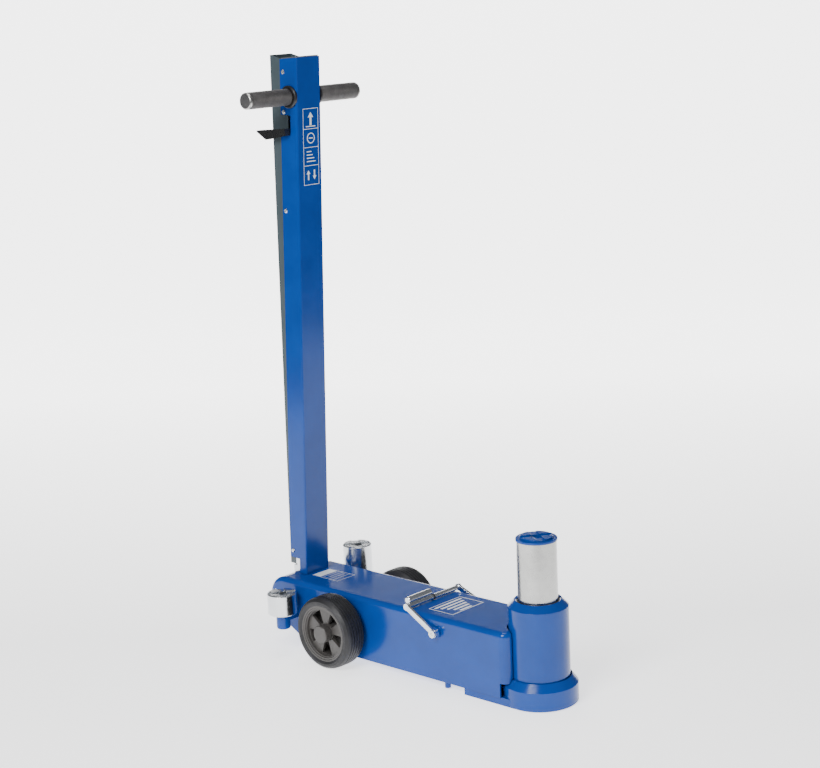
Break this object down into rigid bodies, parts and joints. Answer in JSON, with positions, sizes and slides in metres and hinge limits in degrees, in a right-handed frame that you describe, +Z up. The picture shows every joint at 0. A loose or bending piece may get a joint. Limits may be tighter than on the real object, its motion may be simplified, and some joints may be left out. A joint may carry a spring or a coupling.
{
  "type": "air hydraulic floor jack",
  "caption": "Air-hydraulic vehicle jack on wheels: telescopic ram over a round foot, long enclosed chassis, upright steering handle with twist crossbar, folding carry handle and loose adaptors.",
  "frame": {"origin": "on the floor, on the axis of the lifting ram, at the middle of the foot's underside", "axes": "+Z up along the ram, +X from the handle towards the ram, +Y to the operator's left when facing +X"},
  "size_m": [0.8242, 0.327, 1.3107],
  "materials": {
    "blue_paint": "glossy",
    "grey_paint": "satin",
    "ram_steel": "ground",
    "zinc_plate": "bright zinc",
    "dark_steel": "blackened",
    "bare_steel": "turned",
    "cast_iron": "cast",
    "aluminium": "satin",
    "tyre_rubber": "matte",
    "black_plastic": "moulded",
    "lever_plastic": "satin black",
    "seal_rubber": "matte",
    "brass": "satin"
  },
  "bodies": {
    "chassis": {"base_foot": "blue_paint", "cylinder_tube": "blue_paint", "cylinder_head": "blue_paint", "head_seals": "seal_rubber", "chassis_cover": "blue_paint", "chassis_floor": "blue_paint", "floor_bolts": "blue_paint", "axle": "zinc_plate", "axle_tube": "blue_paint", "axle_clips": "zinc_plate", "adaptor_holders": "blue_paint", "handle_bracket": "zinc_plate", "carry_bolts": "zinc_plate", "oil_tank": "grey_paint", "tank_plug": "zinc_plate", "pump_block": "cast_iron", "pump_screws": "zinc_plate", "air_motor_cylinder": "aluminium", "air_motor_cap": "aluminium", "oil_pipe": "brass", "air_hose_lower": "seal_rubber", "air_inlet": "brass", "piston_spring": "dark_steel"},
    "outer_ram": {"outer_ram": "ram_steel", "outer_ram_seals": "seal_rubber", "ram_collar": "blue_paint"},
    "inner_ram": {"inner_ram": "ram_steel", "inner_ram_seal": "seal_rubber", "saddle": "blue_paint"},
    "adaptor_short": {"adaptor_short": "zinc_plate"},
    "adaptor_tall": {"adaptor_tall": "zinc_plate"},
    "wheel_right": {"tyre_right": "tyre_rubber", "rim_right": "black_plastic", "hub_cap_right": "black_plastic"},
    "wheel_left": {"tyre_left": "tyre_rubber", "rim_left": "black_plastic", "hub_cap_left": "black_plastic"},
    "carry_handle": {"carry_arms": "zinc_plate", "carry_crossbar": "zinc_plate", "carry_buffer": "seal_rubber"},
    "handle": {"handle_channel": "blue_paint", "handle_back_cover": "grey_paint", "cover_screws": "zinc_plate", "handle_yoke": "zinc_plate", "pivot_pin": "zinc_plate", "valve_bracket": "zinc_plate", "valve_body": "aluminium", "grip_collars": "dark_steel", "air_hose_upper": "seal_rubber", "plunger_guide": "aluminium", "lever_pin": "zinc_plate", "lock_spring": "dark_steel"},
    "twist_grip": {"crossbar_shaft": "bare_steel", "valve_fork": "dark_steel", "grip_right": "dark_steel", "grip_left": "dark_steel"},
    "valve_spool": {"valve_spool": "bare_steel"},
    "release_lever": {"release_lever": "lever_plastic"},
    "lock_rod": {"lock_rod": "zinc_plate"},
    "air_piston": {"air_piston": "bare_steel"}
  },
  "joints": [
    {"name": "outer_ram_lift", "type": "slide", "parent": "chassis", "child": "outer_ram", "axis": [0, 0, 1], "range_m": [-0.1245, 0.0125]},
    {"name": "inner_ram_lift", "type": "slide", "parent": "outer_ram", "child": "inner_ram", "axis": [0, 0, 1], "range_m": [0, 0.1315]},
    {"name": "adaptor_short_lift", "type": "slide", "parent": "chassis", "child": "adaptor_short", "axis": [0, 0, 1], "range_m": [0, 0.04]},
    {"name": "adaptor_tall_lift", "type": "slide", "parent": "chassis", "child": "adaptor_tall", "axis": [0, 0, 1], "range_m": [0, 0.04]},
    {"name": "wheel_right_spin", "type": "hinge", "parent": "chassis", "child": "wheel_right", "pos_m": [-0.4878, -0.1176, 0.08], "axis": [0, 1, 0], "continuous": true},
    {"name": "wheel_left_spin", "type": "hinge", "parent": "chassis", "child": "wheel_left", "pos_m": [-0.4878, 0.1176, 0.08], "axis": [0, 1, 0], "continuous": true},
    {"name": "carry_fold", "type": "hinge", "parent": "chassis", "child": "carry_handle", "pos_m": [-0.208, 0, 0.1243], "axis": [0, 1, 0], "range_deg": [0, 126]},
    {"name": "handle_tilt", "type": "hinge", "parent": "chassis", "child": "handle", "pos_m": [-0.6628, 0, 0.20313], "axis": [0, 1, 0], "range_deg": [-80, 0]},
    {"name": "crossbar_twist", "type": "hinge", "parent": "handle", "child": "twist_grip", "pos_m": [-0.61116, 0, 1.22283], "axis": [0, 1, 0], "range_deg": [-25, 25], "stiffness_Nm_per_rad": 2},
    {"name": "spool_slide", "type": "slide", "parent": "handle", "child": "valve_spool", "axis": [0.0483, 0, 0.9988], "range_m": [-0.0099, 0.0099]},
    {"name": "lever_squeeze", "type": "hinge", "parent": "handle", "child": "release_lever", "pos_m": [-0.602, 0, 1.1493], "axis": [0, 1, 0], "range_deg": [0, 18], "stiffness_Nm_per_rad": 1.5},
    {"name": "lock_slide", "type": "slide", "parent": "handle", "child": "lock_rod", "axis": [0.0483, 0, 0.9988], "range_m": [0, 0.0052], "deforming": ["lock_spring"]},
    {"name": "air_piston_stroke", "type": "slide", "parent": "chassis", "child": "air_piston", "axis": [1, 0, 0], "range_m": [0, 0.03], "stiffness_N_per_m": 300, "deforming": ["piston_spring"]}
  ],
  "couplings": [
    {"joint": "spool_slide", "follows": "crossbar_twist", "m_per_rad": 0.0222},
    {"joint": "lock_slide", "follows": "lever_squeeze", "m_per_rad": 0.0153}
  ]
}
